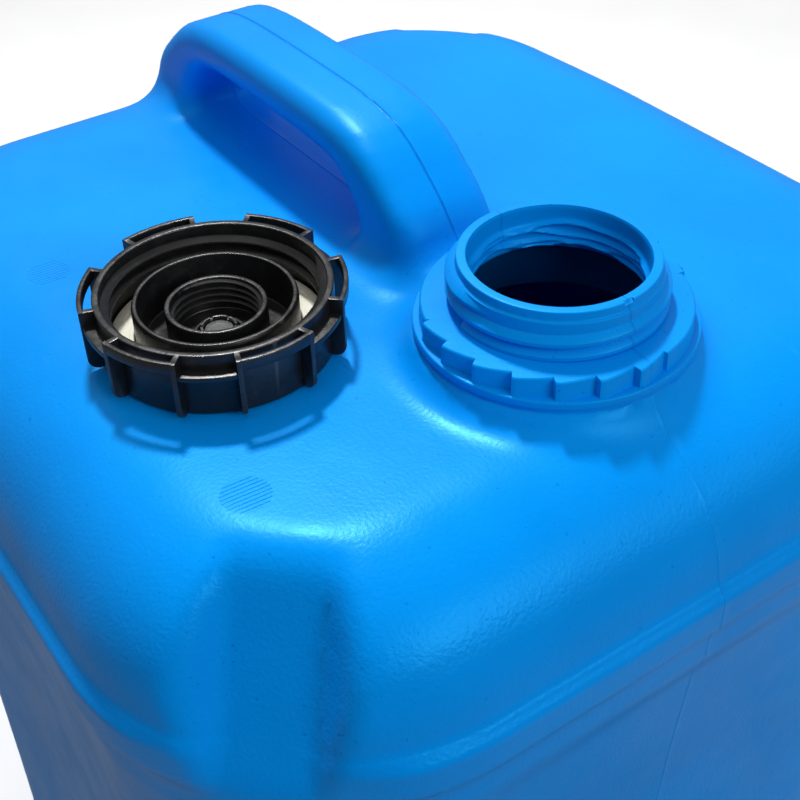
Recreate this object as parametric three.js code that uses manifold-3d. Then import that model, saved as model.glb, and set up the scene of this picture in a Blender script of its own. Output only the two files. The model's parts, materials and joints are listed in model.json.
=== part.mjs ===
// A stackable 30 litre jerry can with an integral handle and threaded neck, its
// screw cap lying open side up on the deck, the cap's sealing washer and its vent.
// Millimetres. Origin: centre of the footprint on the base plane. +Z is up, +X runs
// along the handle towards the neck, and y = 0 is the mould's parting plane.
import * as THREE from "three";
import { mergeVertices, toCreasedNormals } from "three/addons/utils/BufferGeometryUtils.js";
import Module from "manifold-3d";

const wasm = await Module();
wasm.setup();

// ---- driving dimensions -------------------------------------------------------
const LENGTH = 318; // over the ledge, along X
const WIDTH = 304; // over the ledge, along Y
const CORNER = 80; // plan radius of the ledge's corners
const LEDGE = 318; // height of the stacking ledge
const DECK = 360; // height of the flat deck
const WALL = 2.4; // blow-moulded wall
const GAP = 0.3; // clearance between separate pieces

const PANEL_INSET = 6; // side panels stand back from the ledge
const SHOULDER_INSET = 3; // shoulder foot stands back from the ledge
const BAND = 11; // height of the proud band under the ledge
const BASE_ROUND = 12; // rounding of the base edge

const RECESS_FOOT = 38.6; // corner recess: distance from the square corner at the ledge
const RECESS_RISE = 30; // how far it runs back by the time it reaches the deck
const RECESS_FLOOR = 25; // width of its flat floor
const RECESS_FLARE = 24; // extra width of each flared side
const RECESS_DEEP = 30; // depth over which the sides flare

const TROUGH = { length: 276, width: 96, height: 43, corner: 40 }; // clears the can below

const HANDLE_X = -43.3; // middle of the handle
const HANDLE_REACH = 94.3; // from its middle to the outside of each foot
const HANDLE_TOP = LEDGE + 81;
const HANDLE_WIDTH = 35;
const GRIP_UNDER = LEDGE + 65.5; // underside of the grip
const OPENING = 114; // length of the hand opening

const NECK_X = 86; // neck axis
const NECK_TOP = LEDGE + 71;
const BORE_R = 24.7;
const NECK_R = 28.6; // thread root
const LIP_R = 27.7;
const LIP = 3;
const THREAD_R = 30.5; // thread crest: the 61 mm closure size
const PITCH = 4.2;
const FIRST_TURN = LEDGE + 57.8; // height of the thread's lowest point
const FLANGE_R = 39.6;
const RATCHET_R = 38.4;
const FLANGE_TOP = LEDGE + 51;
const RATCHET_TOP = LEDGE + 56.8;

const CAP_X = NECK_X - 55.3; // where the loose cap lies on the deck
const CAP_Y = -75.5;
const CAP_TURN = -1.5; // degrees
const CAP_HEIGHT = 19.5;
const CAP_BORE_R = 31;
const CAP_WALL_R = 33;
const CAP_R = 37; // over the ribs
const CAP_PLATE = 2.4;
const SKIRT_R = 23.1; // plug skirt that enters the neck bore
const BOSS_R = 14.25; // central boss for a tap
const BOSS_BORE_R = 12.75;
const VENT_HOLE_R = 3.9;
const WASHER = { inner: 23.6, outer: 30.5, thickness: 2.2 };

// ---- geometry helpers ---------------------------------------------------------
function solid(geometry) {
  const bare = geometry.clone();
  bare.deleteAttribute("normal");
  bare.deleteAttribute("uv");
  const merged = mergeVertices(bare, 1e-3);
  const index = merged.index.array;
  const kept = [];
  for (let i = 0; i < index.length; i += 3) {
    const [a, b, c] = [index[i], index[i + 1], index[i + 2]];
    if (a !== b && b !== c && c !== a) kept.push(a, b, c);
  }
  const mesh = new wasm.Mesh({
    numProp: 3,
    vertProperties: merged.attributes.position.array,
    triVerts: new Uint32Array(kept),
  });
  return new wasm.Manifold(mesh);
}

function joined(solids) {
  return solids.reduce((sum, piece) => sum.add(piece));
}

function named(name, made, material) {
  const mesh = made.getMesh();
  const geometry = new THREE.BufferGeometry();
  geometry.setAttribute("position", new THREE.BufferAttribute(mesh.vertProperties, 3));
  geometry.setIndex(new THREE.BufferAttribute(mesh.triVerts, 1));
  const result = new THREE.Mesh(toCreasedNormals(geometry, 0.6), material);
  result.name = name;
  return result;
}

function roundedRect(length, width, radius, segments = 6) {
  const [x, y] = [length / 2 - radius, width / 2 - radius];
  const outline = new THREE.Shape();
  outline.absarc(x, y, radius, 0, Math.PI / 2);
  outline.absarc(-x, y, radius, Math.PI / 2, Math.PI);
  outline.absarc(-x, -y, radius, Math.PI, 1.5 * Math.PI);
  outline.absarc(x, -y, radius, 1.5 * Math.PI, 2 * Math.PI);
  const points = outline.curves
    .filter((curve) => curve.isEllipseCurve)
    .flatMap((arc) => arc.getPoints(segments));
  return new THREE.Shape(points);
}

// A slab between two heights whose top and bottom edges are rounded inwards.
function slab(outline, bottom, top, round, segments = 6) {
  const geometry = new THREE.ExtrudeGeometry(outline, {
    depth: top - bottom - 2 * round,
    bevelEnabled: round > 0,
    bevelThickness: round,
    bevelSize: round,
    bevelOffset: -round,
    bevelSegments: segments,
    curveSegments: 6,
  });
  geometry.translate(0, 0, bottom + round);
  return solid(geometry);
}

// A turned solid: the outline is [radius, height] pairs, and its axis is Z.
function turned(outline, segments = 48) {
  const points = outline.map(([r, z]) => new THREE.Vector2(r, z));
  const geometry = new THREE.LatheGeometry(points, segments);
  geometry.rotateX(Math.PI / 2);
  return solid(geometry);
}

function tube(inner, outer, bottom, top, segments = 48) {
  const outline = [[inner, bottom], [outer, bottom], [outer, top], [inner, top], [inner, bottom]];
  return turned(outline, segments);
}

function disc(radius, bottom, top, segments = 36) {
  return turned([[0, bottom], [radius, bottom], [radius, top], [0, top]], segments);
}

// A right-hand thread: a straight ridge wrapped round the axis, run out at both ends.
// direction is +1 for a ridge standing outwards and -1 for one standing inwards.
function thread(root, height, foot, bottom, turns, pitch, direction, perTurn = 18) {
  const ridge = new THREE.Shape([
    new THREE.Vector2(-0.6, -foot / 2 - 0.3),
    new THREE.Vector2(0, -foot / 2),
    new THREE.Vector2(height, -foot / 5),
    new THREE.Vector2(height, foot / 5),
    new THREE.Vector2(0, foot / 2),
    new THREE.Vector2(-0.6, foot / 2 + 0.3),
  ]);
  const steps = Math.round(turns * perTurn);
  const geometry = new THREE.ExtrudeGeometry(ridge, { depth: turns, steps, bevelEnabled: false });
  const position = geometry.getAttribute("position");
  for (let i = 0; i < position.count; i++) {
    const run = direction > 0 ? turns - position.getZ(i) : position.getZ(i);
    const fade = Math.min(1, run * 6, (turns - run) * 6);
    const stand = Math.max(position.getX(i), -0.6) * (position.getX(i) > 0 ? fade : 1);
    const radius = root + direction * stand;
    const angle = 2 * Math.PI * run;
    const z = bottom + position.getY(i) + pitch * run;
    position.setXYZ(i, radius * Math.cos(angle), radius * Math.sin(angle), z);
  }
  return solid(geometry);
}

// ---- can body -----------------------------------------------------------------
// The bulk of the can, offset inwards by `inset` to make its own cavity.
function tankBulk(inset) {
  const panel = roundedRect(
    LENGTH - 2 * (PANEL_INSET + inset),
    WIDTH - 2 * (PANEL_INSET + inset),
    CORNER - PANEL_INSET - inset,
  );
  const shoulder = roundedRect(
    LENGTH - 2 * (SHOULDER_INSET + inset),
    WIDTH - 2 * (SHOULDER_INSET + inset),
    CORNER - SHOULDER_INSET - inset,
  );
  const rise = DECK - LEDGE;
  const lower = slab(panel, inset, LEDGE + 4, BASE_ROUND, 3);
  const upper = slab(shoulder, LEDGE - rise - 4, DECK - inset, rise - inset, 6);
  return lower.add(upper);
}

function ledgeBand() {
  return slab(roundedRect(LENGTH, WIDTH, CORNER), LEDGE - BAND, LEDGE, 1.2, 2);
}

// One sloping corner recess, grown by `margin`, ready to be cut away.
function cornerCutter(signX, signY, margin) {
  const half = RECESS_FLOOR / 2 + margin;
  const section = new THREE.Shape([
    new THREE.Vector2(-half, 0),
    new THREE.Vector2(half, 0),
    new THREE.Vector2(half + RECESS_FLARE, RECESS_DEEP),
    new THREE.Vector2(half + RECESS_FLARE, 2 * RECESS_DEEP),
    new THREE.Vector2(-half - RECESS_FLARE, 2 * RECESS_DEEP),
    new THREE.Vector2(-half - RECESS_FLARE, RECESS_DEEP),
  ]);
  const geometry = new THREE.ExtrudeGeometry(section, { depth: 160, bevelEnabled: false });
  const slope = Math.atan2(DECK - LEDGE, RECESS_RISE);
  geometry.translate(0, -margin, -80);
  geometry.rotateX(Math.PI / 2 - slope); // its length climbs inwards, its floor faces +Y and up
  const outward = new THREE.Vector3(signX, signY, 0).normalize();
  const square = new THREE.Vector3((signX * LENGTH) / 2, (signY * WIDTH) / 2, LEDGE);
  const foot = square.addScaledVector(outward, -RECESS_FOOT);
  geometry.rotateZ(Math.atan2(outward.y, outward.x) - Math.PI / 2);
  geometry.translate(foot.x, foot.y, foot.z);
  return solid(geometry);
}

function cornerCutters(margin) {
  const corners = [[1, 1], [-1, 1], [-1, -1], [1, -1]];
  return joined(corners.map(([signX, signY]) => cornerCutter(signX, signY, margin)));
}

function troughCutter(margin) {
  const outline = roundedRect(
    TROUGH.length + 2 * margin,
    TROUGH.width + 2 * margin,
    TROUGH.corner + margin,
    5,
  );
  return slab(outline, -TROUGH.height - margin, TROUGH.height + margin, 10, 3);
}

// The handle's side view, an arch offset inwards by `inset`; x is measured from its
// middle. Both feet run down into the deck.
function handleArch(inset) {
  const [foot, top] = [DECK - 26, HANDLE_TOP - inset];
  const [half, under, round] = [OPENING / 2 + inset, GRIP_UNDER + inset, 12];
  const arch = new THREE.Shape();
  const reach = HANDLE_REACH - inset;
  arch.moveTo(reach, foot);
  arch.lineTo(reach - 6, DECK + 2);
  arch.quadraticCurveTo(reach - 13, DECK + 9, reach - 17 - 0.2 * inset, LEDGE + 57);
  arch.bezierCurveTo(reach - 28, top - 11, reach - 35 + inset, top - 2, reach - 52 + inset, top - 1);
  arch.quadraticCurveTo(0, top + 1, 52 - reach - inset, top - 1);
  arch.bezierCurveTo(35 - reach - inset, top - 2, 28 - reach, top - 11, 17 - reach + 0.2 * inset, LEDGE + 57);
  arch.quadraticCurveTo(13 - reach, DECK + 9, 6 - reach, DECK + 2);
  arch.lineTo(-reach, foot);
  arch.lineTo(-half, foot);
  arch.lineTo(-half, under - round);
  arch.quadraticCurveTo(-half, under, -half + round, under);
  arch.lineTo(half - round, under);
  arch.quadraticCurveTo(half, under, half, under - round);
  arch.lineTo(half, foot);
  return arch;
}

function handle(inset, round) {
  const flat = HANDLE_WIDTH - 2 * inset - 2 * round;
  const geometry = new THREE.ExtrudeGeometry(handleArch(inset), {
    depth: flat,
    bevelThickness: round,
    bevelSize: 0.75 * round,
    bevelOffset: -0.75 * round,
    bevelSegments: 3,
    curveSegments: 5,
  });
  geometry.rotateX(Math.PI / 2);
  geometry.translate(HANDLE_X, flat / 2, 0);
  return solid(geometry);
}

// Saw teeth in two opposite sectors of the ratchet ring, plain arcs between them.
function ratchetRing() {
  const outline = new THREE.Shape();
  const tooth = Math.PI / 180 * 17;
  const plain = (Math.PI - 7 * tooth) / 3;
  for (const half of [0, Math.PI]) {
    const start = half - Math.PI / 180 * 109;
    for (let i = 0; i < 7; i++) {
      const angle = start + i * tooth;
      const [low, high] = [RATCHET_R - 1.8, RATCHET_R];
      outline.lineTo(high * Math.cos(angle + 0.03 * tooth), high * Math.sin(angle + 0.03 * tooth));
      outline.lineTo(high * Math.cos(angle + 0.25 * tooth), high * Math.sin(angle + 0.25 * tooth));
      outline.lineTo(low * Math.cos(angle + tooth), low * Math.sin(angle + tooth));
    }
    for (let i = 1; i < 3; i++) {
      const angle = start + 7 * tooth + i * plain;
      outline.lineTo((RATCHET_R - 1) * Math.cos(angle), (RATCHET_R - 1) * Math.sin(angle));
    }
  }
  outline.curves.shift();
  const ring = new THREE.ExtrudeGeometry(new THREE.Shape(outline.getPoints(1)), {
    depth: RATCHET_TOP - FLANGE_TOP + 1,
    bevelEnabled: false,
  });
  ring.translate(0, 0, FLANGE_TOP - 1);
  return solid(ring);
}

function neckOutside() {
  const profile = turned([
    [0, DECK - 6],
    [49, DECK - 6],
    [47.5, DECK - 1],
    [44, DECK + 2],
    [41, DECK + 6.4],
    [FLANGE_R, DECK + 7],
    [FLANGE_R, FLANGE_TOP],
    [33, FLANGE_TOP],
    [NECK_R, RATCHET_TOP],
    [NECK_R, NECK_TOP - LIP],
    [LIP_R, NECK_TOP - LIP + 0.6],
    [LIP_R, NECK_TOP],
    [0, NECK_TOP],
  ]);
  const ridge = thread(NECK_R, THREAD_R - NECK_R, 3, FIRST_TURN, 2.1, PITCH, 1);
  return joined([profile, ratchetRing(), ridge]);
}

function canBody() {
  const neck = neckOutside().translate([NECK_X, 0, 0]);
  const bore = disc(BORE_R, DECK - 20, NECK_TOP + 5, 36).translate([NECK_X, 0, 0]);
  const outside = joined([tankBulk(0), ledgeBand(), handle(0, 7), neck])
    .subtract(cornerCutters(0))
    .subtract(troughCutter(0));
  const cavity = tankBulk(WALL)
    .subtract(cornerCutters(WALL))
    .subtract(troughCutter(WALL))
    .add(handle(WALL, 4.5));
  return outside.subtract(cavity).subtract(bore);
}

// ---- screw cap, open side up --------------------------------------------------
const BANDS = 6;
const BAND_HALF = (Math.PI / 180) * 17.8; // half the angle each rim arc covers

function sector(inner, outer, from, to, bottom, top) {
  const outline = new THREE.Shape();
  outline.absarc(0, 0, outer, from, to, false);
  outline.absarc(0, 0, inner, to, from, true);
  const geometry = new THREE.ExtrudeGeometry(outline, {
    depth: top - bottom,
    bevelEnabled: false,
    curveSegments: 3,
  });
  geometry.translate(0, 0, bottom);
  return solid(geometry);
}

// A full-height rib whose outer corner is rounded where the cap meets the hand.
function rib(angle) {
  const [inner, outer, thick] = [CAP_WALL_R - 0.8, CAP_R, 1.5];
  const outline = new THREE.Shape();
  outline.moveTo(inner, 0.6);
  outline.lineTo(outer - 2.6, 0.6);
  outline.quadraticCurveTo(outer, 0.6, outer, 3.6);
  outline.lineTo(outer, CAP_HEIGHT - 0.1);
  outline.lineTo(inner, CAP_HEIGHT - 0.1);
  const geometry = new THREE.ExtrudeGeometry(outline, {
    depth: thick,
    bevelEnabled: false,
    curveSegments: 3,
  });
  geometry.rotateX(Math.PI / 2);
  geometry.translate(0, thick / 2, 0);
  geometry.rotateZ(angle);
  return solid(geometry);
}

function capRim() {
  const pieces = [];
  for (let i = 0; i < BANDS; i++) {
    const middle = (i * 2 * Math.PI) / BANDS;
    const next = middle + (2 * Math.PI) / BANDS;
    const [from, to] = [middle - BAND_HALF, middle + BAND_HALF];
    pieces.push(sector(CAP_R - 1.4, CAP_R, from, to, CAP_HEIGHT - 3.4, CAP_HEIGHT));
    pieces.push(sector(CAP_WALL_R - 0.5, CAP_R - 0.4, to, next - BAND_HALF, 13.4, 15));
    pieces.push(rib(from), rib(to));
  }
  return joined(pieces);
}

function screwCap() {
  const shell = turned([
    [0, 0],
    [CAP_WALL_R - 0.8, 0],
    [CAP_WALL_R, 0.8],
    [CAP_WALL_R, CAP_HEIGHT],
    [CAP_BORE_R, CAP_HEIGHT],
    [CAP_BORE_R, CAP_PLATE],
    [SKIRT_R, CAP_PLATE],
    [SKIRT_R, 15.2],
    [SKIRT_R - 1.6, 15.2],
    [SKIRT_R - 1.9, CAP_PLATE],
    [BOSS_R, CAP_PLATE],
    [BOSS_R, 13],
    [BOSS_BORE_R, 13],
    [BOSS_BORE_R, CAP_PLATE],
    [7.3, CAP_PLATE],
    [7.3, CAP_PLATE + 1.2],
    [6.3, CAP_PLATE + 1.2],
    [6.3, CAP_PLATE],
    [0, CAP_PLATE],
  ]);
  const closureRidge = thread(CAP_BORE_R, 2, 2.6, 7.3, 2.3, PITCH, -1);
  const tapRidge = thread(BOSS_BORE_R, 0.8, 1.2, 4.4, 3, 2.2, -1, 16);
  const ventHole = disc(VENT_HOLE_R, -1, CAP_PLATE + 1, 24);
  return joined([shell, capRim(), closureRidge, tapRidge]).subtract(ventHole);
}

// ---- washer and vent ----------------------------------------------------------
function capSeal() {
  const { inner, outer, thickness } = WASHER;
  const bottom = CAP_PLATE + GAP;
  return tube(inner, outer, bottom, bottom + thickness);
}

// A push-in vent: a hollow stem through the cap plate and a notched crown inside.
function ventInsert() {
  const [stem, crown] = [VENT_HOLE_R - GAP, 5.2];
  const [seat, top] = [CAP_PLATE + GAP, CAP_PLATE + 3];
  const body = turned([
    [2.2, 0.6],
    [stem, 0.6],
    [stem, seat],
    [crown, seat],
    [crown, top],
    [4.4, top],
    [4.4, seat + 0.9],
    [2.2, seat + 0.9],
    [2.2, 0.6],
  ], 30);
  const notches = [];
  for (let i = 0; i < 6; i++) {
    const notch = new THREE.BoxGeometry(2.4, 1, 1.4);
    notch.translate(crown - 0.4, 0, top - 0.3);
    notch.rotateZ((i * Math.PI) / 3);
    notches.push(solid(notch));
  }
  return body.subtract(joined(notches));
}

function ventMembrane() {
  const bottom = CAP_PLATE + 2 * GAP + 0.9;
  return disc(4, bottom, bottom + 0.4, 24);
}

// ---- materials ----------------------------------------------------------------
const bluePolyethylene = new THREE.MeshStandardMaterial({
  color: 0x0b84dc,
  roughness: 0.42,
  metalness: 0,
});
const blackPolyethylene = new THREE.MeshStandardMaterial({
  color: 0x0b0c0e,
  roughness: 0.35,
  metalness: 0,
});
const whiteFoam = new THREE.MeshStandardMaterial({ color: 0xe9e6dc, roughness: 0.8, metalness: 0 });
const darkPolymer = new THREE.MeshStandardMaterial({ color: 0x17181a, roughness: 0.4, metalness: 0 });
const membraneFilm = new THREE.MeshStandardMaterial({ color: 0xf2f2ee, roughness: 0.7, metalness: 0 });

// ---- assembly -----------------------------------------------------------------
const can = new THREE.Group();
can.add(named("can_body", canBody(), bluePolyethylene));

const closure = new THREE.Group();
closure.add(named("screw_cap", screwCap(), blackPolyethylene));
closure.add(named("cap_seal", capSeal(), whiteFoam));
closure.add(named("vent_insert", ventInsert(), darkPolymer));
closure.add(named("vent_membrane", ventMembrane(), membraneFilm));
closure.position.set(CAP_X, CAP_Y, DECK + GAP);
closure.rotation.z = THREE.MathUtils.degToRad(CAP_TURN);
can.add(closure);

export default can;
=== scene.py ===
"""A blue blow-moulded jerry can, its loose black screw cap, the cap's seal and its vent.

Everything is modelled in millimetres in the frame's own axes (origin on the floor under the middle of the
can, +X along the handle towards the neck, +Z up) and scaled to metres when a mesh is made.
"""

import json
import math

import bmesh
import bpy
import numpy as np
from mathutils import Matrix, Vector

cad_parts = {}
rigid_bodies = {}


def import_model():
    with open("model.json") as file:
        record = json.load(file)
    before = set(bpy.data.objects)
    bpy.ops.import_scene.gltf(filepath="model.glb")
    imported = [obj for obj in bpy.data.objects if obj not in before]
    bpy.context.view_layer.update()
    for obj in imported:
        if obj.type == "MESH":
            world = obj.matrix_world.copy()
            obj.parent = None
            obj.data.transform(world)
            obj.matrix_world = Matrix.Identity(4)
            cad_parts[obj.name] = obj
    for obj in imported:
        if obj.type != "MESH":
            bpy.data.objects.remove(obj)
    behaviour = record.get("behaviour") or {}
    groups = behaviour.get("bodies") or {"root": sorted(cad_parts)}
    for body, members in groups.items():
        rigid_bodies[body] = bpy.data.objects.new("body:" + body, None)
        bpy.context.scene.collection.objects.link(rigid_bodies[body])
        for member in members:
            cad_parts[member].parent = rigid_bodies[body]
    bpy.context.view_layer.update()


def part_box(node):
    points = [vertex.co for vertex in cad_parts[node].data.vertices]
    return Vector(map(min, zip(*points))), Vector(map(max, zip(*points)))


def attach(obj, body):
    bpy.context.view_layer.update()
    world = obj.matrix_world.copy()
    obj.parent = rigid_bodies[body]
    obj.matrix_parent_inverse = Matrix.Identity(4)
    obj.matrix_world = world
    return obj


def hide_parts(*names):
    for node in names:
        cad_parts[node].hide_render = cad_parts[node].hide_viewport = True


for leftover in list(bpy.data.objects):
    bpy.data.objects.remove(leftover)
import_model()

MM = 0.001
TURN = 2 * math.pi
DEGREE = math.pi / 180

# ---- driving dimensions, millimetres ---------------------------------------------------
can_low, can_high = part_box("can_body")
cap_low, cap_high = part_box("screw_cap")

LENGTH = (can_high.x - can_low.x) / MM
WIDTH = (can_high.y - can_low.y) / MM
TOP = can_high.z / MM  # the top of the handle
LEDGE = TOP - 81  # the stacking ledge round the can
DECK = LEDGE + 42  # the flat deck
CORNER = 80  # plan radius of the ledge's corners
WALL = 2.4

NECK_X = LENGTH / 2 - 73
RIM = LEDGE + 71  # the sealing land of the neck
BORE_R = 24.7
LIP_R = 27.7
ROOT_R = 28.6
PITCH = 4.2
FLANGE_R = 39.6
FLANGE_TOP = LEDGE + 51.5
RATCHET_R = 38.5
RATCHET_TOP = LEDGE + 57

CAP_X = (cap_low.x + cap_high.x) / 2 / MM
CAP_Y = (cap_low.y + cap_high.y) / 2 / MM
CAP_Z = cap_low.z / MM
CAP_TURN = -1.5 * DEGREE
CAP_HEIGHT = (cap_high.z - cap_low.z) / MM
CAP_R = 37.0
CAP_PLATE = 2.4


# ---- mesh helpers ----------------------------------------------------------------------
def make_object(name, points, faces):
    """A mesh object from millimetre points, welded, with its faces turned outwards."""
    mesh = bpy.data.meshes.new(name)
    mesh.from_pydata((np.asarray(points, float) * MM).tolist(), [], faces)
    work = bmesh.new()
    work.from_mesh(mesh)
    bmesh.ops.remove_doubles(work, verts=work.verts, dist=1e-7)
    bmesh.ops.dissolve_degenerate(work, dist=1e-7, edges=work.edges)
    bmesh.ops.recalc_face_normals(work, faces=work.faces)
    work.to_mesh(mesh)
    work.free()
    obj = bpy.data.objects.new(name, mesh)
    bpy.context.scene.collection.objects.link(obj)
    return obj


def combine(target, others, operation):
    """target with each of the others joined to it or cut from it; the others are used up."""
    for other in others:
        step = target.modifiers.new(other.name, "BOOLEAN")
        step.object = other
        step.operation = operation
        step.solver = "MANIFOLD"
    graph = bpy.context.evaluated_depsgraph_get()
    result = bpy.data.meshes.new_from_object(target.evaluated_get(graph))
    target.modifiers.clear()
    target.data = result
    for other in others:
        bpy.data.objects.remove(other)
    return target


def shade(obj, sharp_degrees):
    for face in obj.data.polygons:
        face.use_smooth = True
    obj.data.set_sharp_from_angle(angle=sharp_degrees * DEGREE)


def round_corners(outline, radii, segments=4):
    """A closed (radius, height) outline with its corners rounded; radii is one number or one per corner."""
    corners = [np.array(p, float) for p in outline]
    if not hasattr(radii, "__len__"):
        radii = [radii] * len(corners)
    rounded = []
    for i, (corner, radius) in enumerate(zip(corners, radii)):
        back = corners[i - 1] - corner
        ahead = corners[(i + 1) % len(corners)] - corner
        back_length, ahead_length = np.linalg.norm(back), np.linalg.norm(ahead)
        back, ahead = back / back_length, ahead / ahead_length
        half = math.acos(float(np.clip(back @ ahead, -1, 1))) / 2
        if radius <= 0 or half > 1.5:
            rounded.append(corner)
            continue
        reach = min(radius / math.tan(half), 0.48 * back_length, 0.48 * ahead_length)
        centre = corner + (back + ahead) / np.linalg.norm(back + ahead) * reach / math.cos(half)
        start, end = corner + back * reach - centre, corner + ahead * reach - centre
        span = math.acos(float(np.clip(start @ end / (start @ start), -1, 1)))
        for k in range(segments + 1):
            share = k / segments
            weight_start = math.sin((1 - share) * span) / math.sin(span)
            weight_end = math.sin(share * span) / math.sin(span)
            rounded.append(centre + start * weight_start + end * weight_end)
    return np.array(rounded)


def ring_faces(rings, per_ring, closed):
    """Quads between rings of points; open sweeps get flat ends."""
    faces = []
    for i in range(rings if closed else rings - 1):
        a, b = i * per_ring, ((i + 1) % rings) * per_ring
        for j in range(per_ring):
            k = (j + 1) % per_ring
            faces.append((a + j, b + j, b + k, a + k))
    if not closed:
        faces.append(tuple(range(per_ring)))
        faces.append(tuple(range((rings - 1) * per_ring, rings * per_ring))[::-1])
    return faces


def turned(name, outline, count=180, start=0.0, sweep=TURN):
    """A closed outline turned about the Z axis, all the way or through part of a turn."""
    closed = sweep == TURN
    rings = count if closed else count + 1
    angles = start + sweep * np.arange(rings) / count
    outline = np.asarray(outline, float)
    points = np.empty((rings, len(outline), 3))
    points[..., 0] = np.cos(angles)[:, None] * outline[:, 0]
    points[..., 1] = np.sin(angles)[:, None] * outline[:, 0]
    points[..., 2] = outline[:, 1]
    return make_object(name, points.reshape(-1, 3), ring_faces(rings, len(outline), closed))


def ridge(name, root, section, bottom, start, turns, pitch, tip=0.07, blunt=0.012, per_turn=144):
    """A helical ridge. section holds (stand from the root, height) pairs; positive stand leaves the root.

    The ridge climbs with the angle from start. Its lower end is blunt, and its upper end tapers to a tip.
    """
    steps = round(turns * per_turn)
    section = np.asarray(section, float)
    points = []
    for k in range(steps + 1):
        run = turns * k / steps
        fade = min(1, (run + 0.002) / blunt, (turns - run + 0.002) / tip)
        angle = start + TURN * run
        leaves_root = section[:, 0] > 0 if root > 0 else section[:, 0] < 0
        stand = np.where(leaves_root, section[:, 0] * fade, section[:, 0])
        radius = abs(root) + stand
        height = bottom + pitch * run + section[:, 1] * (0.35 + 0.65 * fade)
        points.append(np.stack([radius * math.cos(angle), radius * math.sin(angle), height], axis=1))
    return make_object(name, np.concatenate(points), ring_faces(steps + 1, len(section), False))


def bevelled_block(name, outline, thick, bevel=0.25):
    """A flat outline in the XZ plane thickened along Y, with its edges bevelled."""
    work = bmesh.new()
    corners = [work.verts.new((x, -thick / 2, z)) for x, z in outline]
    face = work.faces.new(corners)
    grown = bmesh.ops.extrude_face_region(work, geom=[face])
    moved = [v for v in grown["geom"] if isinstance(v, bmesh.types.BMVert)]
    bmesh.ops.translate(work, verts=moved, vec=(0, thick, 0))
    bmesh.ops.recalc_face_normals(work, faces=work.faces)
    sharp = [e for e in work.edges if e.calc_face_angle(0) > 0.9]
    bmesh.ops.bevel(work, geom=sharp, offset=bevel, segments=2, affect="EDGES", profile=0.6)
    points = [tuple(v.co) for v in work.verts]
    work.verts.index_update()
    faces = [tuple(v.index for v in f.verts) for f in work.faces]
    work.free()
    return make_object(name, points, faces)


def turn_about_z(obj, angle):
    obj.data.transform(Matrix.Rotation(angle, 4, "Z"))
    return obj


def shift(obj, x, y, z):
    obj.data.transform(Matrix.Translation(Vector((x, y, z)) * MM))
    return obj


# ---- distance-field helpers ------------------------------------------------------------
def smooth_union(a, b, k):
    h = np.maximum(k - np.abs(a - b), 0.0) / k
    return np.minimum(a, b) - h * h * k * 0.25


def smooth_cut(a, b, k):
    """a with b cut away, and the new edge rounded over about k."""
    h = np.maximum(k - np.abs(a + b), 0.0) / k
    return np.maximum(a, -b) + h * h * k * 0.25


def rounded_both(a, b, radius):
    """The region where both a and b are negative, its corner rounded."""
    a, b = a + radius, b + radius
    outside = np.sqrt(np.maximum(a, 0) ** 2 + np.maximum(b, 0) ** 2)
    return outside + np.minimum(np.maximum(a, b), 0) - radius


def rounded_rect(x, y, half_length, half_width, corner):
    qx = np.abs(x) - (half_length - corner)
    qy = np.abs(y) - (half_width - corner)
    outside = np.sqrt(np.maximum(qx, 0) ** 2 + np.maximum(qy, 0) ** 2)
    return outside + np.minimum(np.maximum(qx, qy), 0) - corner


def stepped(stops):
    """Grid lines from (position, spacing up to the next position) pairs."""
    lines = []
    for (start, spacing), (end, _) in zip(stops, stops[1:]):
        count = max(1, round((end - start) / spacing))
        lines.extend(np.linspace(start, end, count, endpoint=False))
    lines.append(stops[-1][0])
    return np.array(lines)


def surface_net(values, lines):
    """Points and quads of the surface where a field sampled on a rectilinear grid crosses zero."""
    inside = values < 0
    shape = tuple(n - 1 for n in values.shape)
    corners = [(i, j, k) for i in (0, 1) for j in (0, 1) for k in (0, 1)]
    total = np.zeros(shape, np.int8)
    for corner in corners:
        total += inside[tuple(slice(c, c + n) for c, n in zip(corner, shape))]
    cells = np.argwhere((total > 0) & (total < 8))
    ids = np.full(shape, -1, np.int64)
    ids[tuple(cells.T)] = np.arange(len(cells))
    sums = np.zeros((len(cells), 3))
    counts = np.zeros(len(cells))
    for axis in range(3):
        for corner in corners:
            if corner[axis]:
                continue
            start = cells + corner
            end = start.copy()
            end[:, axis] += 1
            a, b = values[tuple(start.T)], values[tuple(end.T)]
            crosses = (a < 0) != (b < 0)
            share = np.where(crosses, a / np.where(crosses, a - b, 1), 0)
            for d in range(3):
                low, high = lines[d][start[:, d]], lines[d][end[:, d]]
                sums[:, d] += np.where(crosses, low + share * (high - low), 0)
            counts += crosses
    quads = []
    for axis in range(3):
        low, high = [slice(None)] * 3, [slice(None)] * 3
        low[axis], high[axis] = slice(0, -1), slice(1, None)
        edges = np.argwhere(inside[tuple(low)] != inside[tuple(high)])
        u, v = (axis + 1) % 3, (axis + 2) % 3
        ring = []
        for du, dv in ((-1, -1), (0, -1), (0, 0), (-1, 0)):
            cell = edges.copy()
            cell[:, u] += du
            cell[:, v] += dv
            ring.append(ids[tuple(cell.T)])
        quad = np.stack(ring, axis=1)
        flip = ~inside[tuple(edges.T)]
        quad[flip] = quad[flip][:, ::-1]
        quads.append(quad)
    return sums / counts[:, None], np.concatenate(quads)


def gradient(distance, points, step=0.05):
    slope = np.empty_like(points)
    for d in range(3):
        offset = np.zeros(3)
        offset[d] = step
        ahead, behind = distance(*(points + offset).T), distance(*(points - offset).T)
        slope[:, d] = (ahead - behind) / (2 * step)
    return slope


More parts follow.
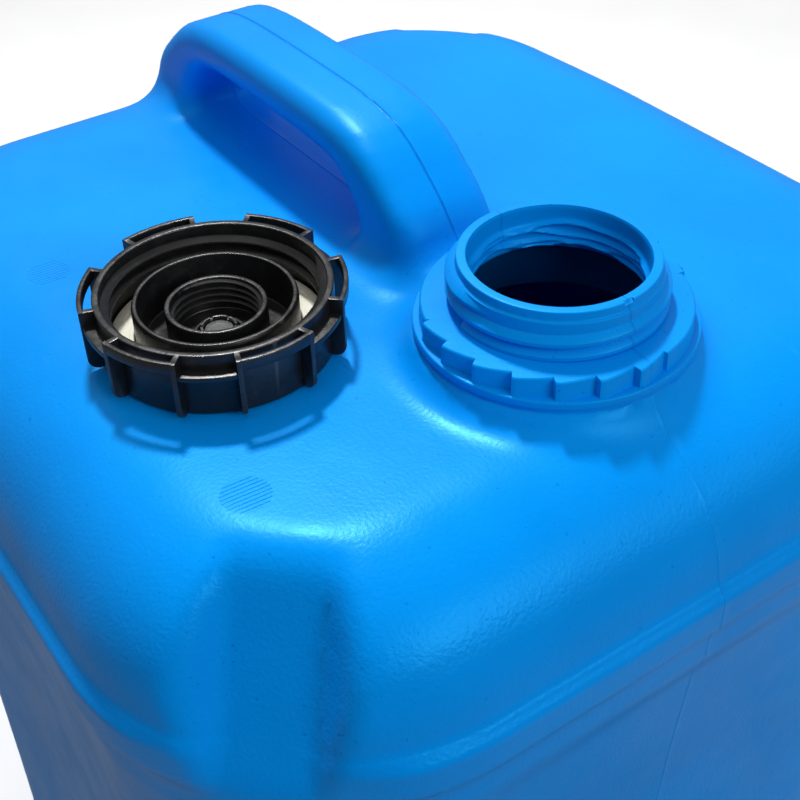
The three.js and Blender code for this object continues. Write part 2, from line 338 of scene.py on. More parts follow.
def settle(points, distance, rounds=4, most=1.2):
    """Moves points onto the zero surface of the distance field."""
    for _ in range(rounds):
        slope = gradient(distance, points)
        steepness = np.maximum((slope**2).sum(1), 0.05)
        move = -(distance(*points.T) / steepness)[:, None] * slope
        reach = np.maximum(np.linalg.norm(move, axis=1, keepdims=True), 1e-9)
        points = points + move * np.minimum(1, most / reach)
    return points


def net_object(name, distance, lines):
    grid = np.meshgrid(*[line.astype(np.float32) for line in lines], indexing="ij", sparse=True)
    points, quads = surface_net(distance(*grid), lines)
    return make_object(name, settle(points, distance), quads.tolist())


# ---- can body: the blow-moulded shell --------------------------------------------------
PANEL_INSET = 4.4  # the side panels stand back from the ledge
PANEL_BOW = 8.0  # and sink in further at the middle of each side
SHOULDER_INSET = 3.0
BAND = 12.0  # height of the proud band under the ledge
BAND_TRIM = 76  # at the corners the band stops this far from the centre of the corner's arc
TROUGH = (138, 48, 40)  # half length, half width and corner radius of the trough under the base
RECESS_RUN = 25.0  # how far a corner recess runs back between the ledge and the deck
RECESS_FOOT = 69.5  # where its floor crosses the ledge, from the centre of the corner's arc
RECESS_FAR = 3.0  # the recesses at the far end are cut this much deeper
RECESS_HALF_FLOOR = 12.5
HANDLE_X = -43.3
HANDLE_HALF = 17.5
HANDLE_EDGE = 6.5  # edge radius of the bar
BOSS_TOP = DECK + 7.0
BOSS_R = 38.9
MARK_PLACES = ((90, -101), (-32, -101))  # the round mould vents in the deck
MARK_R = 6.6
MARK_PITCH = 1.3
MARK_SLANT = 0.06
TROUGH_TOP = 43.0


def corner_place(x, y):
    """(distance outwards from the centre of the nearest corner's arc, distance across its diagonal)."""
    from_x = np.abs(x) - (LENGTH / 2 - CORNER)
    from_y = np.abs(y) - (WIDTH / 2 - CORNER)
    return (from_x + from_y) / math.sqrt(2), np.abs(from_x - from_y) / math.sqrt(2)


def recess_cutter(x, y, z):
    """The four sloping corner recesses, each a flat ramp with flared sides."""
    outward, across = corner_place(x, y)
    run, rise = RECESS_RUN, DECK - LEDGE
    foot = RECESS_FOOT - RECESS_FAR * np.clip(-x / 80, 0, 1)
    above = ((outward - foot) * rise + (z - LEDGE) * run) / math.hypot(run, rise)
    sides = (across - RECESS_HALF_FLOOR - 1.0 * np.clip(above, 0, 40)) * 0.71
    return smooth_cut(sides, above, 1.4)


def handle_centre_line():
    """(distance from the handle's middle, height, half thickness) down the middle of its bar, smoothed."""
    half = [(0, 73.1, 7.8), (28, 72.8, 7.8), (43, 71.3, 8.0), (53, 67.0, 9.2)]
    half += [(61.5, 59, 11), (69.5, 49, 12.8), (72, 38, 13), (74.5, 20, 13.5)]
    knots = [(-u, LEDGE + z, thick) for u, z, thick in reversed(half[1:])]
    knots = np.array(knots + [(u, LEDGE + z, thick) for u, z, thick in half])
    padded = np.vstack([2 * knots[0] - knots[1], knots, 2 * knots[-1] - knots[-2]])
    line = []
    for before, a, b, after in zip(padded, padded[1:], padded[2:], padded[3:]):
        for t in (0, 0.25, 0.5, 0.75):
            cubic = 3 * a - before - 3 * b + after
            square = 2 * before - 5 * a + 4 * b - after
            line.append(0.5 * (2 * a + (b - before) * t + square * t**2 + cubic * t**3))
    line.append(knots[-1])
    return np.array(line)


HANDLE_LINE = handle_centre_line()


def handle_distance(x, y, z):
    u = x - HANDLE_X
    nearest = None
    for a, b in zip(HANDLE_LINE, HANDLE_LINE[1:]):
        run_u, run_z, run_thick = b - a
        share = np.clip(((u - a[0]) * run_u + (z - a[1]) * run_z) / (run_u**2 + run_z**2), 0, 1)
        gap = np.hypot(u - a[0] - share * run_u, z - a[1] - share * run_z) - a[2] - share * run_thick
        nearest = gap if nearest is None else np.minimum(nearest, gap)
    bar = rounded_both(nearest, np.abs(y) - HANDLE_HALF, HANDLE_EDGE)
    return np.maximum(bar, DECK - 25 - z)


def tank_distance(x, y, z):
    plan = rounded_rect(x, y, LENGTH / 2, WIDTH / 2, CORNER)
    rise = np.clip((z - 30) / (LEDGE - 50), 0, 1)
    off_centre = np.minimum(np.abs(x) / (LENGTH / 2), np.abs(y) / (WIDTH / 2)) / 0.75
    bow = PANEL_BOW * 4 * rise * (1 - rise) * np.clip(1 - off_centre**2, 0, 1) ** 2
    panel = rounded_both(plan + PANEL_INSET + bow, -z, 13)
    panel = np.maximum(panel, z - LEDGE)
    far_end = np.clip((-x - 20) / 100, 0, 1)
    reach = 1 + 0.26 * far_end * far_end * (3 - 2 * far_end)
    shoulder = rounded_both((plan + SHOULDER_INSET) / reach, z - DECK, DECK - LEDGE)
    shoulder = np.maximum(shoulder, LEDGE - 30 - z)
    foot = rounded_both(plan + 4, np.abs(z - 24) - 10, 3)
    trimmed = rounded_both(plan, corner_place(x, y)[0] - BAND_TRIM, 6)
    band = rounded_both(trimmed, np.abs(z - LEDGE + BAND / 2) - BAND / 2, 1.7)
    body = smooth_union(panel, foot, 7)
    body = smooth_union(body, band, 8)
    body = smooth_union(body, shoulder, 3)
    body = smooth_cut(body, recess_cutter(x, y, z), 5)
    trough = rounded_both(rounded_rect(x, y, *TROUGH), z - TROUGH_TOP, 12)
    return smooth_cut(body, trough, 8)


def outer_distance(x, y, z):
    body = tank_distance(x, y, z)
    boss = rounded_both(np.hypot(x - NECK_X, y) - BOSS_R + 0.2, z - BOSS_TOP + 1.4, 1)
    body = smooth_union(body, np.maximum(boss, DECK - 25 - z), 12)
    body = smooth_union(body, handle_distance(x, y, z), 14)
    on_handle = np.clip((z - LEDGE - 50) / 8, 0, 1)
    witness = 0.18 * np.exp(-(((y - 0.6) / 0.3) ** 2)) - 0.3 * on_handle * np.exp(-((y / 0.3) ** 2))
    return body - witness


def inner_distance(x, y, z):
    hollow = smooth_union(tank_distance(x, y, z), handle_distance(x, y, z), 12)
    return hollow + WALL


def shell_lines(spacing):
    x = stepped([(-LENGTH / 2 - 5, spacing), (LENGTH / 2 + 5, 0)])
    y = stepped([(-WIDTH / 2 - 5, spacing), (-1.5, 0.375), (1.5, spacing), (WIDTH / 2 + 5, 0)])
    stops = [(-5, spacing), (52, 9), (LEDGE - 26, 1.6), (LEDGE - 4, 0.8)]
    stops += [(LEDGE + 4, 0.9 * spacing), (TOP + 5, 0)]
    return [x, y, stepped(stops)]


def cavity_lines(spacing):
    return [stepped([(-half, spacing), (half, 0)]) for half in (LENGTH / 2, WIDTH / 2)] + [
        stepped([(-3, spacing), (TOP + 3, 0)])
    ]


# ---- can body: the compression-moulded neck --------------------------------------------
def neck_core():
    outline = [
        (10, DECK - 8),
        (37, DECK - 8),
        (37, DECK + 1),
        (BOSS_R, DECK + 1.6),
        (BOSS_R, BOSS_TOP),
        (FLANGE_R, BOSS_TOP + 0.3),
        (FLANGE_R, FLANGE_TOP),
        (34, FLANGE_TOP),
        (ROOT_R, RATCHET_TOP + 0.6),
        (ROOT_R, RIM - 2.9),
        (LIP_R, RIM - 2.5),
        (LIP_R - 0.1, RIM),
        (10, RIM),
    ]
    radii = [0, 0, 0, 0, 0.9, 0.2, 0.6, 0.3, 1.0, 0.3, 0.5, 0.45, 0]
    return turned("neck_core", round_corners(outline, radii), 240)


def ratchet_radius(angle):
    """Saw teeth in two opposite sectors, each stepping out and then falling back, with plain arcs between."""
    tooth = 17.0 * DEGREE
    phase = (angle + 109 * DEGREE) % math.pi
    along = (phase / tooth) % 1
    rise = np.clip(along / 0.05, 0, 1)
    fall = np.clip((along - 0.16) / 0.84, 0, 1)
    toothed = RATCHET_R - 2.1 + 2.1 * rise * (1 - fall)
    toothed = toothed - 0.3 * np.clip(1 - along / 0.1, 0, 1) ** 2 * rise
    return np.where(phase < 7 * tooth, toothed, RATCHET_R - 1.0)


def ratchet_ring():
    count = 720
    angles = TURN * np.arange(count) / count
    edge = ratchet_radius(angles)
    rows = [
        (np.full(count, 27.5), FLANGE_TOP - 1.5),
        (edge + 0.15, FLANGE_TOP - 1.5),
        (edge + 0.15, FLANGE_TOP),
        (edge, FLANGE_TOP + 0.4),
    ]
    # the top is one shallow cone, so no crease runs in from the teeth
    hidden = np.full(count, 27.5)
    for radius, below in ((edge - 0.1, 0.6), (edge - 0.25, 0.25), (edge - 0.6, 0.0), (hidden, 0.0)):
        rows.append((radius, RATCHET_TOP + 0.06 * (RATCHET_R - radius) - below))
    points = np.empty((count, len(rows), 3))
    for j, (radius, height) in enumerate(rows):
        points[:, j, 0] = radius * np.cos(angles)
        points[:, j, 1] = radius * np.sin(angles)
        points[:, j, 2] = height
    return make_object("ratchet_ring", points.reshape(-1, 3), ring_faces(count, len(rows), True))


def neck_thread():
    """Two turns of buttress thread: a tapered start near the rim and a blunt end above the ratchet."""
    section = [(-0.8, -1.0), (0, -0.6), (1.75, -0.1), (1.9, 0.1)]
    section += [(1.9, 1.1), (1.7, 1.35), (0, 2.9), (-0.8, 3.2)]
    top_angle, turns = -78 * DEGREE, 2.06
    start = top_angle - TURN * turns
    return ridge("neck_thread", ROOT_R, section, RIM - 5.3 - PITCH * turns, start, turns, PITCH)


def neck_lug():
    """A small stop on the far side of the ratchet ring."""
    low, high = FLANGE_TOP - 1.5, RATCHET_TOP - 0.4
    outline = [(34, low), (39.9, low), (39.4, high - 0.6), (38.6, high), (34, high)]
    return turn_about_z(bevelled_block("neck_lug", outline, 3.2, 0.4), 78 * DEGREE)


def rim_nick(angle, deep, wide):
    """A small chip cut out of the rim's outer edge where the mould halves meet."""
    outline = [(LIP_R - deep, RIM + 1), (LIP_R + 1, RIM + 1)]
    outline += [(LIP_R + 1, RIM - 1.2), (LIP_R - 0.3, RIM - 0.9)]
    nick = bevelled_block("rim_nick", outline, wide, 0.12)
    return turn_about_z(nick, angle)


def flow_folds(angle, height):
    """How far the bore's wall swells inwards: smooth near the rim, folded lower down."""
    down = RIM - height
    back = 0.5 + 0.5 * np.cos(angle - 150 * DEGREE)
    swell = np.zeros_like(angle + height)
    for deep, width, stand, wave, phase in (
        (6.6, 0.8, 1.0, 2, 0.4),
        (8.6, 0.7, 1.15, 3, 1.9),
        (10.6, 0.75, 0.95, 2, 3.3),
        (12.0, 0.6, 0.8, 5, 0.8),
    ):
        middle = deep + 0.9 * np.sin(wave * angle + phase) + 0.35 * np.sin(7 * angle + 2 * phase)
        swell += stand * np.exp(-(((down - middle) / width) ** 2))
    return swell * (0.25 + 0.75 * back)


def bore_cutter():
    """The neck's bore, opening out below into the hollow of the can."""
    count = 180
    angles = TURN * np.arange(count) / count
    heights = np.concatenate([[RIM + 3, RIM + 0.35], np.arange(RIM - 0.2, RIM - 13.2, -0.45)])
    rows = [(BORE_R + 0.45 * np.exp(-max(RIM - h, 0) / 0.3) - flow_folds(angles, h), h) for h in heights]
    rows += [(np.full(count, r), h) for r, h in ((25.4, RIM - 14), (32.5, RIM - 17.5))]
    rows += [(np.full(count, 33.0), DECK - 12)]
    points = np.zeros((count, len(rows), 3))
    for j, (radius, height) in enumerate(rows):
        points[:, j, 0] = radius * np.cos(angles)
        points[:, j, 1] = radius * np.sin(angles)
        points[:, j, 2] = height
    faces = []
    wide = len(rows)
    for i in range(count):
        k = (i + 1) % count
        for j in range(wide - 1):
            faces.append((i * wide + j, i * wide + j + 1, k * wide + j + 1, k * wide + j))
    faces.append(tuple(i * wide for i in range(count)))
    faces.append(tuple(i * wide + wide - 1 for i in reversed(range(count))))
    return make_object("bore", points.reshape(-1, 3), faces)


def mark_grooves():
    """The fine parallel grooves of the two round mould vents."""
    grooves = []
    section = [(-0.3, DECK + 0.1), (0.3, DECK + 0.1), (0, DECK - 0.14)]
    for place_x, place_y in MARK_PLACES:
        for k in range(-4, 5):
            across = k * MARK_PITCH
            groove = bevelled_block("groove", section, 2 * math.sqrt(MARK_R**2 - across**2), 0.02)
            shift(groove, across, 0, 0)
            grooves.append(shift(turn_about_z(groove, -MARK_SLANT), place_x, place_y, 0))
    return grooves


def build_can_body():
    body = net_object("can_shell", outer_distance, shell_lines(3.4))
    neck = [neck_core(), ratchet_ring(), neck_thread(), neck_lug()]
    for piece in neck:
        shift(piece, NECK_X, 0, 0)
    combine(body, neck, "UNION")
    cavity = net_object("cavity", inner_distance, cavity_lines(6.0))
    cuts = [bore_cutter(), rim_nick(0, 1.8, 3.0), rim_nick(64 * DEGREE, 0.8, 1.5)]
    for cut in cuts:
        shift(cut, NECK_X, 0, 0)
    combine(body, [cavity] + cuts + mark_grooves(), "DIFFERENCE")
    shade(body, 32)
    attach(body, "can")
    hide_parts("can_body")
    return body


# ---- screw cap, open side up -----------------------------------------------------------
RIM_ARC_HALF = 17.8 * DEGREE
RIM_ARCS = 6


def cap_shell():
    outline = [
        (3.9, 0.5),
        (12, 0.5),
        (12.4, 0),
        (33, 0),
        (33, CAP_HEIGHT - 0.1),
        (31, CAP_HEIGHT - 0.1),
        (31, CAP_PLATE),
        (23.1, CAP_PLATE),
        (23.1, 14.2),
        (22.6, 15.2),
        (21.5, 15.2),
        (21.2, CAP_PLATE),
        (14.25, CAP_PLATE),
        (14.25, 13),
        (12.75, 13),
        (12.75, CAP_PLATE),
        (7.3, CAP_PLATE),
        (7.3, CAP_PLATE + 1.2),
        (6.3, CAP_PLATE + 1.2),
        (6.3, CAP_PLATE),
        (3.9, CAP_PLATE),
    ]
    radii = [0.2, 0.1, 0.2, 1.0, 0.35, 0.45, 0.3, 0.3, 0.3, 0.3, 0.3, 0.6]
    radii += [0.4, 0.35, 0.35, 0.4, 0.3, 0.25, 0.25, 0.3, 0.15]
    return turned("cap_shell", round_corners(outline, radii, 3), 216)


def closure_ridge():
    section = [(0.8, -1.6), (0, -1.3), (-1.8, -0.45), (-2, -0.25)]
    section += [(-2, 0.25), (-1.8, 0.45), (0, 1.3), (0.8, 1.6)]
    return ridge("closure_ridge", -31.0, section, 8.6, 0.3, 2.2, PITCH, tip=0.05, per_turn=120)


def tap_ridge():
    section = [(0.5, -0.75), (0, -0.6), (-0.8, -0.15), (-0.8, 0.15), (0, 0.6), (0.5, 0.75)]
    return ridge("tap_ridge", -12.75, section, 4.6, 1.1, 3.4, 2.2, tip=0.08, per_turn=90)


def rim_arc(middle):
    inner, low = CAP_R - 1.4, CAP_HEIGHT - 3.4
    outline = round_corners(
        [(inner, low), (CAP_R, low), (CAP_R, CAP_HEIGHT), (inner, CAP_HEIGHT)], [0.2, 0.4, 0.35, 0.35], 3
    )
    return turned("rim_arc", outline, 30, middle - RIM_ARC_HALF, 2 * RIM_ARC_HALF)


def pocket_shelf(middle):
    """The thin shelf that closes each gap between two rim arcs."""
    half = 30 * DEGREE - RIM_ARC_HALF
    outline = [(32.4, 13.3), (CAP_R - 0.5, 13.3), (CAP_R - 0.5, 15.0), (32.4, 15.0)]
    return turned("pocket_shelf", round_corners(outline, [0, 0.5, 0.3, 0], 3), 20, middle - half, 2 * half)


def rib(angle):
    """A full-height rib across the cap's outer wall, its lower corner rounded."""
    inner = 32.2
    outline = [(inner, 0.7), (CAP_R - 3, 0.7)]
    for k in range(6):
        bend = k / 5 * math.pi / 2
        outline.append((CAP_R - 3 + 3 * math.sin(bend), 3.7 - 3 * math.cos(bend)))
    outline += [(CAP_R, CAP_HEIGHT), (inner, CAP_HEIGHT - 0.15)]
    return turn_about_z(bevelled_block("rib", outline, 1.6, 0.28), angle)


def gate_pip(radius, angle, size):
    """A small moulding pip on the inside of the plate."""
    outline = [(0, CAP_PLATE - 0.4), (size, CAP_PLATE - 0.4), (size, CAP_PLATE + 0.25), (0, CAP_PLATE + 0.6)]
    pip = turned("pip", round_corners(outline, [0, 0, size * 0.5, 0], 3), 18)
    return shift(pip, radius * math.cos(angle), radius * math.sin(angle), 0)


def build_screw_cap():
    cap = cap_shell()
    details = [closure_ridge(), tap_ridge()]
    for i in range(RIM_ARCS):
        middle = TURN * i / RIM_ARCS
        details.append(rim_arc(middle))
        details.append(pocket_shelf(middle + TURN / RIM_ARCS / 2))
        details.append(rib(middle - RIM_ARC_HALF + 1.2 * DEGREE))
        details.append(rib(middle + RIM_ARC_HALF - 1.2 * DEGREE))
    for angle in (10, 24, 190, 204):
        details.append(gate_pip(17.6, angle * DEGREE, 0.9))
    combine(cap, details, "UNION")
    cap.name = "cap_shell"
    return place_in_cap(cap, "cap", "screw_cap", 30)


def place_in_cap(piece, body, node, sharp):
    """Turns and moves a piece from the cap's own axes to where the cap lies."""
    turn_about_z(piece, CAP_TURN)
    shift(piece, CAP_X, CAP_Y, CAP_Z)
    shade(piece, sharp)
    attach(piece, body)
    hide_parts(node)
    return piece


# ---- seal and vent ---------------------------------------------------------------------
def build_cap_seal():
    """A flat foam washer, pressed a little thinner where the neck's rim has bitten into it."""
    low, high = CAP_PLATE + 0.3, CAP_PLATE + 2.5
    dent = [(27.9, high), (27.5, high - 0.3), (25.1, high - 0.3), (24.7, high)]
    outline = [(23.6, low), (30.5, low), (30.5, high)] + dent + [(23.6, high)]
    radii = [0.3, 0.3, 0.45, 0.2, 0.25, 0.25, 0.2, 0.4]
    seal = turned("foam_washer", round_corners(outline, radii, 3), 180)
    return place_in_cap(seal, "seal", "cap_seal", 40)


def build_vent_insert():
    low, seat, top = 0.6, CAP_PLATE + 0.3, CAP_PLATE + 3
    outline = [(2.2, low), (3.6, low), (3.6, seat), (5.2, seat), (5.2, top), (4.4, top), (4.4, seat + 0.9)]
    outline += [(2.2, seat + 0.9)]
    insert = turned("vent_plug", round_corners(outline, 0.15, 2), 96)
    notches = []
    for i in range(6):
        corners = [(4.0, top - 1.0), (6, top - 1.0), (6, top + 1), (4.0, top + 1)]
        notches.append(turn_about_z(bevelled_block("notch", corners, 1.0, 0.08), TURN * i / 6))
    combine(insert, notches, "DIFFERENCE")
    return place_in_cap(insert, "cap", "vent_insert", 30)


def build_vent_membrane():
    low = CAP_PLATE + 1.5
    outline = [(0, low), (4, low), (4, low + 0.4), (2.6, low + 0.4), (2.3, low + 0.34), (0, low + 0.3)]
    film = turned("vent_film", round_corners(outline, [0, 0.08, 0.12, 0.1, 0.1, 0], 2), 72)
    return place_in_cap(film, "cap", "vent_membrane", 40)


# ---- materials -------------------------------------------------------------------------
class Nodes:
    """A small wrapper that keeps node graphs short to write."""

    def __init__(self, name):
        self.material = bpy.data.materials.new(name)
        self.material.use_nodes = True
        self.tree = self.material.node_tree
        self.shader = self.tree.nodes["Principled BSDF"]
        self.place = self.tree.nodes.new("ShaderNodeTexCoord").outputs["Object"]

    def link(self, value, socket):
        if isinstance(value, bpy.types.NodeSocket):
            self.tree.links.new(value, socket)
        elif value is not None:
            socket.default_value = value

    def math(self, operation, a, b=None, c=None):
        node = self.tree.nodes.new("ShaderNodeMath")
        node.operation = operation
        for socket, value in zip(node.inputs, (a, b, c)):
            self.link(value, socket)
        return node.outputs[0]

    def noise(self, scale, detail=3, rough=0.5, stretch=None):
        node = self.tree.nodes.new("ShaderNodeTexNoise")
        place = self.place
        if stretch:
            mapping = self.tree.nodes.new("ShaderNodeMapping")
            mapping.inputs["Scale"].default_value = stretch
            mapping.inputs["Rotation"].default_value = (0, 0, 0.7)
            self.tree.links.new(place, mapping.inputs["Vector"])
            place = mapping.outputs[0]
        self.tree.links.new(place, node.inputs["Vector"])
        node.inputs["Scale"].default_value = scale
        node.inputs["Detail"].default_value = detail
        node.inputs["Roughness"].default_value = rough
        return node.outputs["Fac"]

    def band(self, value, low, high, to_low=0.0, to_high=1.0):
        node = self.tree.nodes.new("ShaderNodeMapRange")
        node.interpolation_type = "SMOOTHSTEP"
        for socket, number in zip(node.inputs, (value, low, high, to_low, to_high)):
            self.link(number, socket)
        return node.outputs[0]

    def mix(self, share, a, b):
        node = self.tree.nodes.new("ShaderNodeMix")
        node.data_type = "RGBA"
        colours = [socket for socket in node.inputs if socket.type == "RGBA"]
        self.link(share, node.inputs[0])
        self.link(a, colours[0])
        self.link(b, colours[1])
        return [socket for socket in node.outputs if socket.type == "RGBA"][0]

    def bump(self, height, distance, strength, under=None):
        node = self.tree.nodes.new("ShaderNodeBump")
        node.inputs["Distance"].default_value = distance
        self.link(strength, node.inputs["Strength"])
        self.link(height, node.inputs["Height"])
        self.link(under, node.inputs["Normal"])
        return node.outputs[0]

    def finish(self, colour, roughness, normal, **others):
        self.link(colour, self.shader.inputs["Base Color"])
        self.link(roughness, self.shader.inputs["Roughness"])
        self.link(normal, self.shader.inputs["Normal"])
        for key, value in others.items():
            self.link(value, self.shader.inputs[key.replace("_", " ")])
        return self.material


def rgb(red, green, blue):
    """sRGB bytes to a linear colour."""
    channels = [c / 255 for c in (red, green, blue)]
    linear = [c / 12.92 if c <= 0.04045 else ((c + 0.055) / 1.055) ** 2.4 for c in channels]
    return (*linear, 1.0)


# Painted highlight: a mask that is high along sharply curved edges, used to lighten them.
def painted_edge_highlight(n, low, high):
    return n.band(n.tree.nodes.new("ShaderNodeNewGeometry").outputs["Pointiness"], low, high)


def blue_polyethylene():
    n = Nodes("blue_polyethylene")
    split = n.tree.nodes.new("ShaderNodeSeparateXYZ")
    n.tree.links.new(n.place, split.inputs[0])
    x, y, z = split.outputs
    cloud = n.noise(14, 3)
    colour = n.mix(n.band(cloud, 0.3, 0.7), rgb(0, 134, 226), rgb(0, 142, 236))
    specks = n.band(n.noise(640, 1), 0.74, 0.78)
    colour = n.mix(n.math("MULTIPLY", specks, 0.35), colour, rgb(0, 70, 150))
    # Painted shade: a darker line along the parting-line groove on top of the handle.
    seam_groove_shade = n.band(n.math("ABSOLUTE", y), 0.0001, 0.0005, 0.4, 0.0)
    seam_groove_shade = n.math("MULTIPLY", seam_groove_shade, n.band(z, (LEDGE + 50) * MM, (LEDGE + 58) * MM))
    colour = n.mix(seam_groove_shade, colour, rgb(0, 92, 185))
    scuffs = n.band(n.noise(55, 5, 0.75, (1, 9, 1)), 0.66, 0.74)
    colour = n.mix(n.math("MULTIPLY", scuffs, 0.12), colour, rgb(120, 190, 245))
    rough = n.band(n.noise(40, 4, 0.6), 0.25, 0.8, 0.28, 0.41)
    rough = n.math("ADD", rough, n.math("MULTIPLY", scuffs, 0.12))
    peel = n.noise(850, 2, 0.5)
    waves = n.noise(60, 2, 0.5)
    slope = n.band(z, DECK * MM - 0.004, DECK * MM + 0.001, 1.0, 0.35)
    normal = n.bump(waves, 0.0005, 0.15)
    normal = n.bump(peel, 0.0003, n.math("MULTIPLY", slope, 0.42), normal)
    vents, groove = hatched_marks(n, x, y, z)
    colour = n.mix(n.math("MULTIPLY", groove, 0.1), colour, rgb(0, 84, 176))
    rough = n.math("ADD", rough, n.math("MULTIPLY", vents, 0.08))
    # Painted shade: the inside of the can below the neck's bore is darkened to near black, where little light
    # reaches.
    painted_throat_shade = n.band(distance_across(n, x, y, NECK_X, 0), 0.034, 0.036, 1.0, 0.0)
    painted_throat_shade = n.math("MULTIPLY", painted_throat_shade, n.band(z, (RIM - 15.5) * MM, (RIM - 14.7) * MM, 1.0, 0.0))
    colour = n.mix(n.math("MULTIPLY", painted_throat_shade, 0.9), colour, rgb(0, 24, 60))
    tint = (0.05, 0.6, 1.0, 1.0)
    return n.finish(colour, rough, normal, IOR=1.5, Specular_IOR_Level=0.4, Specular_Tint=tint)


def distance_across(n, x, y, place_x, place_y):
    """Distance in plan from a point given in millimetres."""
    dx = n.math("SUBTRACT", x, place_x * MM)
    dy = n.math("SUBTRACT", y, place_y * MM)
    return n.math("SQRT", n.math("ADD", n.math("POWER", dx, 2.0), n.math("POWER", dy, 2.0)))


def hatched_marks(n, x, y, z):
    """Where the two mould vents are, and a darker stripe along each groove cut in them."""
    discs, grooves = None, None
    for place_x, place_y in MARK_PLACES:
        away = distance_across(n, x, y, place_x, place_y)
        edge = MARK_R * MM
        disc = n.math("MULTIPLY", n.band(away, edge - 0.0002, edge + 0.0002, 1.0, 0.0), n.band(z, 0.34, 0.35))
        dx = n.math("SUBTRACT", x, place_x * MM)
        dy = n.math("SUBTRACT", y, place_y * MM)
        across = n.math("SUBTRACT", dx, n.math("MULTIPLY", dy, MARK_SLANT))
        stripe = n.band(n.math("COSINE", n.math("MULTIPLY", across, TURN / (MARK_PITCH * MM))), 0.1, 0.7)
        groove = n.math("MULTIPLY", disc, stripe)
        discs = disc if discs is None else n.math("MAXIMUM", discs, disc)
        grooves = groove if grooves is None else n.math("MAXIMUM", grooves, groove)
    return discs, grooves


def black_polyethylene():
    n = Nodes("black_polyethylene")
    dust = n.band(n.noise(160, 5, 0.65), 0.5, 0.75)
    colour = n.mix(n.math("MULTIPLY", dust, 0.12), rgb(17, 18, 20), rgb(80, 80, 80))
    # painted highlight along the cap's sharp edges
    colour = n.mix(n.math("MULTIPLY", painted_edge_highlight(n, 0.52, 0.6), 0.4), colour, rgb(92, 92, 92))
    rough = n.band(n.noise(260, 4, 0.6), 0.3, 0.75, 0.26, 0.42)
    normal = n.bump(n.noise(900, 3, 0.6), 0.00012, 0.5)
    normal = n.bump(n.noise(90, 2), 0.0004, 0.25, normal)
    return n.finish(colour, rough, normal, IOR=1.5)


def white_foam():
    n = Nodes("white_foam")
    cells = n.noise(1900, 2, 0.6)
    colour = n.mix(n.band(n.noise(120, 4, 0.6), 0.35, 0.75), rgb(236, 234, 218), rgb(216, 214, 196))
    colour = n.mix(n.math("MULTIPLY", n.band(cells, 0.45, 0.3), 0.3), colour, rgb(190, 188, 172))
    normal = n.bump(cells, 0.0002, 0.6)
    return n.finish(colour, n.band(cells, 0.3, 0.7, 0.7, 0.9), normal, IOR=1.45)


def dark_polymer():
    n = Nodes("dark_polymer")
    colour = n.mix(n.band(n.noise(300, 4, 0.6), 0.4, 0.7), rgb(26, 27, 29), rgb(44, 45, 47))
    # painted highlight along the vent insert's sharp edges
    colour = n.mix(n.math("MULTIPLY", painted_edge_highlight(n, 0.52, 0.6), 0.4), colour, rgb(110, 110, 110))
    normal = n.bump(n.noise(1100, 2), 0.0001, 0.5)
    return n.finish(colour, n.band(n.noise(400, 3), 0.3, 0.7, 0.28, 0.45), normal, IOR=1.5)


def membrane_film():
    n = Nodes("membrane_film")
    fibres = n.noise(1400, 4, 0.7)
    colour = n.mix(n.band(fibres, 0.35, 0.7), rgb(60, 61, 62), rgb(92, 93, 93))
    return n.finish(colour, n.band(fibres, 0.3, 0.7, 0.4, 0.6), n.bump(fibres, 0.0001, 0.5), IOR=1.4)


def floor_paper():
    """White paper to the camera, and a mid grey to the light it would otherwise throw up the can's sides."""
    n = Nodes("floor_paper")
    colour = n.mix(n.band(n.noise(6, 3), 0.3, 0.7), (0.93, 0.93, 0.93, 1), (0.9, 0.9, 0.9, 1))
    seen = n.tree.nodes.new("ShaderNodeLightPath").outputs["Is Camera Ray"]
    colour = n.mix(seen, (0.22, 0.22, 0.22, 1), colour)
    return n.finish(colour, 0.9, n.bump(n.noise(400, 3), 0.0002, 0.2))


# ---- stage -----------------------------------------------------------------------------
def make_floor():
    mesh = bpy.data.meshes.new("floor")
    mesh.from_pydata([(-4, -4, 0), (4, -4, 0), (4, 4, 0), (-4, 4, 0)], [], [(0, 1, 2, 3)])
    floor = bpy.data.objects.new("floor", mesh)
    bpy.context.scene.collection.objects.link(floor)
    floor.data.materials.append(floor_paper())


def area_light(name, place, aim, power, size, size_y=None):
    light = bpy.data.lights.new(name, "AREA")
    light.energy = power
    light.size = size
    if size_y:
        light.shape = "RECTANGLE"
        light.size_y = size_y
    obj = bpy.data.objects.new(name, light)
    bpy.context.scene.collection.objects.link(obj)
    obj.location = place
    obj.rotation_euler = (Vector(aim) - Vector(place)).to_track_quat("-Z", "Y").to_euler()
    return obj


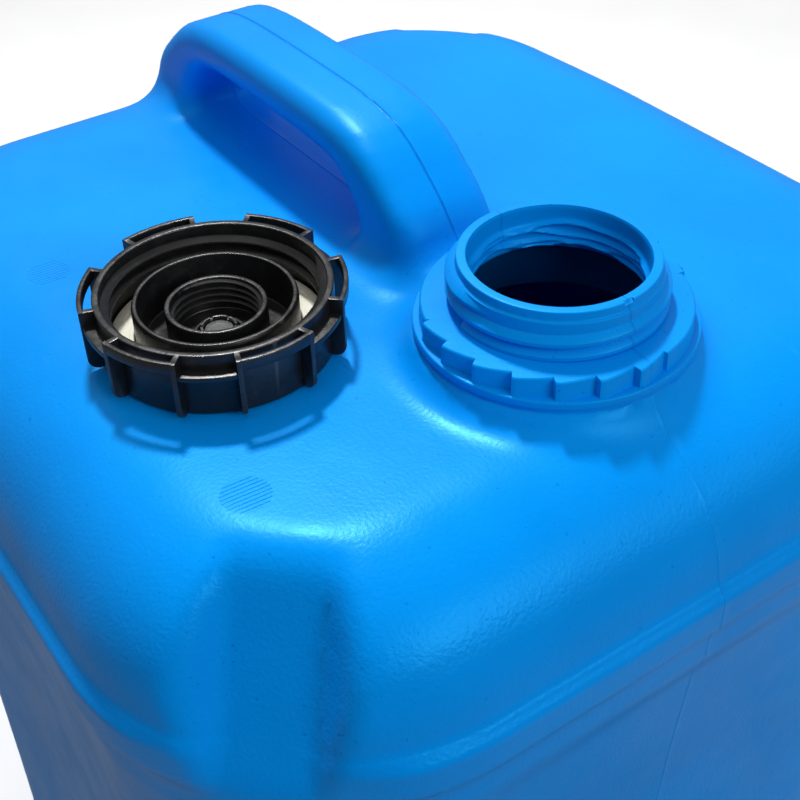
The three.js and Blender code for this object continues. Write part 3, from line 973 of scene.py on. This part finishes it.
def make_lights():
    deck = (0.05, -0.02, DECK * MM)
    area_light("key", (-0.70, 0.26, 1.75), deck, 26, 0.16)
    area_light("window", (1.75, 0.35, 1.30), deck, 17, 1.1, 0.7)
    area_light("overhead", (0.25, -0.35, 1.75), deck, 3, 1.4)
    world = bpy.data.worlds.new("studio")
    bpy.context.scene.world = world
    world.use_nodes = True
    tree = world.node_tree
    split = tree.nodes.new("ShaderNodeSeparateXYZ")
    tree.links.new(tree.nodes.new("ShaderNodeTexCoord").outputs["Generated"], split.inputs[0])
    climb = tree.nodes.new("ShaderNodeMapRange")
    for socket, number in zip(climb.inputs[1:5], (0.0, 0.9, 0.16, 0.42)):
        socket.default_value = number
    tree.links.new(split.outputs["Z"], climb.inputs[0])
    background = tree.nodes["Background"]
    background.inputs["Color"].default_value = (1, 1, 1, 1)
    seen = tree.nodes.new("ShaderNodeMix")  # a pale backdrop to the camera only
    tree.links.new(tree.nodes.new("ShaderNodeLightPath").outputs["Is Camera Ray"], seen.inputs[0])
    tree.links.new(climb.outputs[0], seen.inputs[2])
    seen.inputs[3].default_value = 0.9
    tree.links.new(seen.outputs[0], background.inputs["Strength"])


def make_camera():
    azimuth, elevation, roll = 56.46 * DEGREE, 39.13 * DEGREE, -1.79 * DEGREE
    level = math.cos(elevation)
    forward = Vector((-math.sin(azimuth) * level, math.cos(azimuth) * level, -math.sin(elevation)))
    right = Vector((math.cos(azimuth), math.sin(azimuth), 0))
    up = right.cross(forward)
    side = math.cos(roll) * right + math.sin(roll) * up
    top = math.cos(roll) * up - math.sin(roll) * right
    place = Vector((LENGTH / 2 + 150, -WIDTH / 2 - 48, LEDGE + 263.4)) * MM
    camera = bpy.data.objects.new("camera", bpy.data.cameras.new("camera"))
    bpy.context.scene.collection.objects.link(camera)
    camera.matrix_world = Matrix.Translation(place) @ Matrix((side, top, -forward)).transposed().to_4x4()
    camera.data.sensor_width = 36
    camera.data.lens = 59.46
    camera.data.clip_start = 0.01
    bpy.context.scene.camera = camera


def paint(obj, material):
    obj.data.materials.clear()
    obj.data.materials.append(material)
    for face in obj.data.polygons:
        face.material_index = 0


paint(build_can_body(), blue_polyethylene())
paint(build_screw_cap(), black_polyethylene())
paint(build_cap_seal(), white_foam())
paint(build_vent_insert(), dark_polymer())
paint(build_vent_membrane(), membrane_film())
make_floor()
make_lights()
make_camera()
bpy.context.scene.view_settings.view_transform = "Standard"
